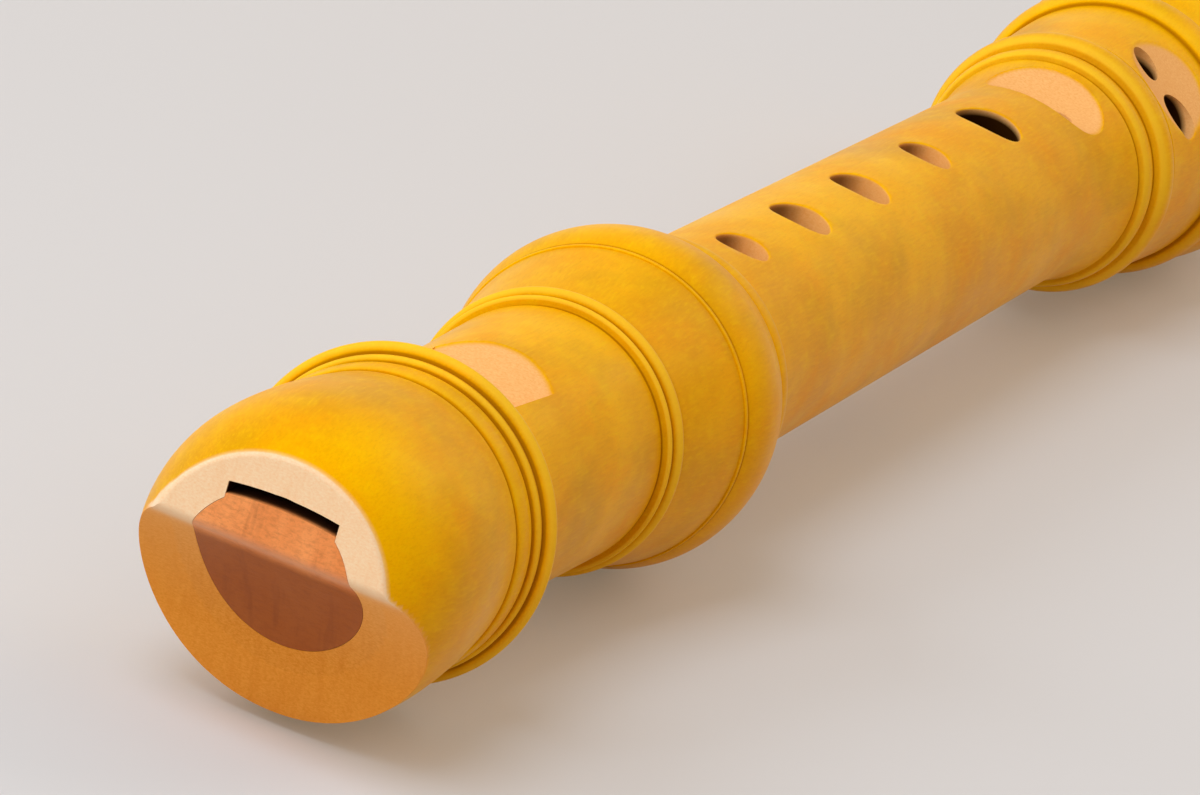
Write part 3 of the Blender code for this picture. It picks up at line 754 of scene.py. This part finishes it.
def make_head(material):
    """Head joint: turned outside, socket and bore, carved at the mouth and window."""
    outer = head_outer()
    end, end_radius = outer[-1]
    socket = TENON_RADIUS + SOCKET_GAP
    inner = straight_runs([(end, end_radius - FACE_INSET), (end, socket), (end - SOCKET_DEPTH, socket),
                           (end - SOCKET_DEPTH, HEAD_BORE), (BLOCK_LENGTH, HEAD_BORE),
                           (0, HEAD_BORE + HEAD_BORE_TAPER), (0, 9.6)])
    head = turned("head_joint_wood", joined([outer, inner[1:]]), MOUTH_Y)
    carve(head, [beak_tool()] + head_tools())

    x, along, height = bore_places(head, MOUTH_Y)
    radius = np.hypot(x, height)
    facts = turned_facts(outer, along, depth_under(outer, along, radius))
    distance, level = beak_side().T
    behind = along - np.interp(-height, -level, distance)
    # The stain ends 0.3 mm behind the cut, and up to 1 mm behind it beside the ridge on the left
    margin = 0.3 + 0.7 * bell(height, 3.0, 2.0) * (from_hole_line(x, height)[0] < 0)
    facts["bare"] = np.maximum(facts["bare"], grade(behind, margin, margin - 0.16))
    # A bright orange line along the cut's edge: partly stain at the edge, partly a painted highlight where
    # the edge catches the light
    facts["rim"] = grade(np.abs(behind - 0.2), 0.25, 0) * grade(height, 2.5, 0.5) * (radius > 9)
    facts["groove"] *= grade(along, 2, 4)
    facts["crest"] *= grade(along, 2, 4)
    # Painted light at the mouth: the end face above the ridge takes a paler lit copy of the bare wood, and
    # the hollow below it a darker shaded orange copy, stronger downwards
    at_mouth = grade(along, 16, 15) * (facts["bare"] > 0)
    facts["upper"] = at_mouth * grade(height, 1.9, 2.7)
    facts["shaded_low_face"] = at_mouth * grade(height, 1.8, -7.2) ** 0.6
    # The ridge's paler band: partly rubbed wood, partly a painted highlight
    facts["ridge"] = at_mouth * bell(height, 2.4, 0.6)
    # Painted shade: the windway's roof and walls turn dark within 0.25 mm of the mouth, where the slot shades
    # them
    windway = (np.abs(height - 6.2) < 1.1) & (radius < 8.2) & (along < 30)
    facts["painted_shade"] = windway * grade(along, 0, 0.25)
    keep_facts(head, facts)
    dress(head, material, "head", "head_joint")


def make_block(material):
    """Block: sections of a circle with a flat-shouldered key on top, carved at the mouth like the head."""
    key = WINDWAY_HALF - BLOCK_GAP
    along = np.linspace(-0.5, BLOCK_LENGTH, 80)
    rows = len(along)
    radius = (HEAD_BORE + HEAD_BORE_TAPER * (1 - np.maximum(along, 0) / BLOCK_LENGTH)) * ROUND - BLOCK_GAP
    limit = np.arcsin(key / radius)
    turn = np.linspace(limit, 2 * np.pi - limit, 120, axis=-1)
    top = np.tile(np.linspace(key, -key, 24), (rows, 1))
    wall = np.linspace(radius * np.cos(limit), WINDWAY_FLOOR - WINDWAY_ARCH, 6, axis=-1)[:, 1:-1]
    shoulder = np.full_like(wall, key)
    across = np.hstack([-radius[:, None] * np.sin(turn), shoulder, top, -shoulder])
    height = np.hstack([radius[:, None] * np.cos(turn), wall, WINDWAY_FLOOR + arch(top), wall[:, ::-1]])
    block = plug("block_wood", in_frame(across, along[:, None], height, MOUTH_Y))
    carve(block, [beak_tool()])

    _, along, height = bore_places(block, MOUTH_Y)
    # Painted shade: the windway's floor is dark from the mouth to 5 mm behind it, where the slot shades it
    windway_floor_shade = grade(along, 0.05, 0.75) * np.minimum(grade(along, 5.0, 3.0), 0.9)
    keep_facts(block, {"painted_shade": (height > 5.4) * windway_floor_shade,
                       # The ridge's paler band, partly rubbed wood and partly a painted highlight, and
                       # painted shade below the ridge
                       "ridge": (along < 4) * bell(height, 2.4, 0.5),
                       "shaded_low_face": grade(height, 2.2, 1.0)})
    dress(block, material, "block", "block")


def make_body(material):
    """Body: tenon with its groove, turned outside, tapered bore, carved with holes, scoop and flat."""
    outer = body_outer()
    end, end_radius = outer[-1]
    inner = straight_runs([(end, end_radius - FACE_INSET), (end, BELL_RADIUS), (end - BELL_LENGTH, FOOT_BORE),
                           (-TENON_LENGTH, TENON_BORE), (-TENON_LENGTH, TENON_RADIUS - 0.3),
                           (0.3 - TENON_LENGTH, TENON_RADIUS), (GROOVE_START, TENON_RADIUS),
                           (GROOVE_START, GROOVE_RADIUS), (GROOVE_END, GROOVE_RADIUS),
                           (GROOVE_END, TENON_RADIUS), (0, TENON_RADIUS), (0, 9.75)])
    body = turned("body_joint_wood", joined([outer, inner[1:]]), SHOULDER_Y)
    carve(body, body_tools(outer))

    x, along, height = bore_places(body, SHOULDER_Y)
    radius = np.hypot(x, height)
    depth = depth_under(outer, along, radius)
    facts = turned_facts(outer, along, depth)
    facts["bare"] = np.where(along > 0.02, facts["bare"], 1.0)
    across, up = from_hole_line(x, height)
    walls = (along > 0.5) & (along < 151) & (radius > 4.4) & (up > 0)
    painted_shade = np.zeros(len(along))
    # Painted shade: the finger holes' walls are dark below a depth of each hole's own, and two thirds dark
    # on the left, the side that faces away from the light
    for place, size, dark in zip(HOLE_PLACES, HOLE_SIZES, HOLE_DARKS):
        left = 0.66 * grade(across / (size / 2), -0.2, -0.8) * grade(depth, 0, 0.5)
        near = np.abs(along - place) < size * 0.6
        painted_shade = np.maximum(painted_shade, near * np.maximum(left, grade(depth, dark, dark + 0.6)))
    # Painted shade inside the holes of the scoop and the flat, below their own depths
    for place, reach, dark in ((SCOOP_PLACE, SCOOP_REACH, SCOOP_DARK), (FLAT_PLACE, FLAT_REACH, FLAT_DARK)):
        near = np.abs(along - place) < reach
        painted_shade = np.maximum(painted_shade, near * grade(depth, dark, dark + 0.35))
    facts["painted_shade"] = painted_shade * walls
    facts["rim"] = 0.3 * walls * facts["bare"] * (along < 80)
    keep_facts(body, facts)
    dress(body, material, "body", "body_joint")


def make_lapping(material):
    """Thread wound side by side on the tenon: a circle carried along a helix, over a plain core."""
    start = GROOVE_START + THREAD / 2
    turns = LAPPING_LENGTH / THREAD - 1
    path = np.linspace(0, 2 * np.pi * turns, int(turns * 64))[:, None]
    ring = np.linspace(0, 2 * np.pi, 8, endpoint=False)
    centre = TENON_RADIUS * ROUND - THREAD / 2
    radius = centre + THREAD / 2 * np.cos(ring)
    along = start + THREAD / 2 + THREAD * path / (2 * np.pi) + THREAD / 2 * np.sin(ring)
    points = in_frame(radius * np.sin(path), along, radius * np.cos(path), SHOULDER_Y)
    lapping = plug("tenon_lapping_thread", points)
    lapping.data.shade_smooth()
    inner = GROOVE_RADIUS + 0.25
    core = np.array([[0, inner], [0, centre], [LAPPING_LENGTH, centre], [LAPPING_LENGTH, inner]])
    under = turned("tenon_lapping_core", core, SHOULDER_Y + start * MM, 96)
    dress(under, material, "lapping")
    dress(lapping, material, "lapping", "tenon_lapping")


# Stage

def unit(direction):
    """A direction at length 1."""
    return np.array(direction, float) / np.linalg.norm(direction)


def stand(thing, axes, place):
    """Turn an object so that its x, y and z follow three directions, and put it at a place."""
    matrix = np.eye(4)
    matrix[:3, :3], matrix[:3, 3] = np.column_stack(axes), place
    thing.matrix_world = Matrix(matrix.tolist())


def make_floor():
    """Level pale floor."""
    corners = [(x * FLOOR_REACH, y * FLOOR_REACH, 0) for x, y in ((-1, -1), (1, -1), (1, 1), (-1, 1))]
    mesh = bpy.data.meshes.new("floor")
    mesh.from_pydata(corners, [], [(0, 1, 2, 3)])
    mesh.materials.append(floor_paper("floor_paper"))
    placed("floor", mesh)


def make_camera():
    """Camera at the photographed angle, with a long lens."""
    data = bpy.data.cameras.new("camera")
    data.lens, data.sensor_width, data.sensor_fit = CAMERA_LENS, CAMERA_SENSOR, "HORIZONTAL"
    data.clip_start, data.clip_end = 0.01, 50
    camera = placed("camera", data)
    forward = unit(CAMERA_FORWARD)
    right = unit(CAMERA_RIGHT - forward * (CAMERA_RIGHT @ forward))
    place = np.array(CAMERA_FROM) * CAMERA_DISTANCE + CAMERA_AIM
    stand(camera, [right, np.cross(right, forward), -forward], place)
    bpy.context.scene.camera = camera


def make_world():
    """Soft warm light from all round, and a pale background where it is seen."""
    world = bpy.data.worlds.new("studio")
    bpy.context.scene.world = world
    world.use_nodes = True
    tree = world.node_tree
    light = tree.nodes["Background"]
    feed(tree, light, {"Color": AMBIENT_TINT, "Strength": AMBIENT_STRENGTH})
    seen = add(tree, "ShaderNodeBackground", {"Color": colour(222, 217, 213), "Strength": 1.0})
    both = add(tree, "ShaderNodeMixShader", {0: seen_directly(tree), 1: light.outputs[0], 2: seen.outputs[0]})
    feed(tree, tree.nodes["World Output"], {"Surface": both.outputs[0]})


def make_lamp(name, place, size, power, tint):
    """A square soft lamp that faces the instrument."""
    data = bpy.data.lights.new(name, "AREA")
    data.size, data.energy, data.color = size, power, colour(*tint)[:3]
    back = unit(place)
    side = unit(np.cross([0, 0, 1], back))
    stand(placed(name, data), [side, np.cross(back, side), back], place)


def main():
    """Build every piece and the stage."""
    boxwood = stained_boxwood("stained_boxwood_fine")
    make_head(boxwood)
    make_block(block_cedar("block_wood_fine"))
    make_body(boxwood)
    make_lapping(waxed_thread("waxed_thread_fine"))
    make_floor()
    make_camera()
    make_world()
    for lamp in LAMPS:
        make_lamp(*lamp)
    bpy.context.scene.view_settings.view_transform = "Standard"


main()
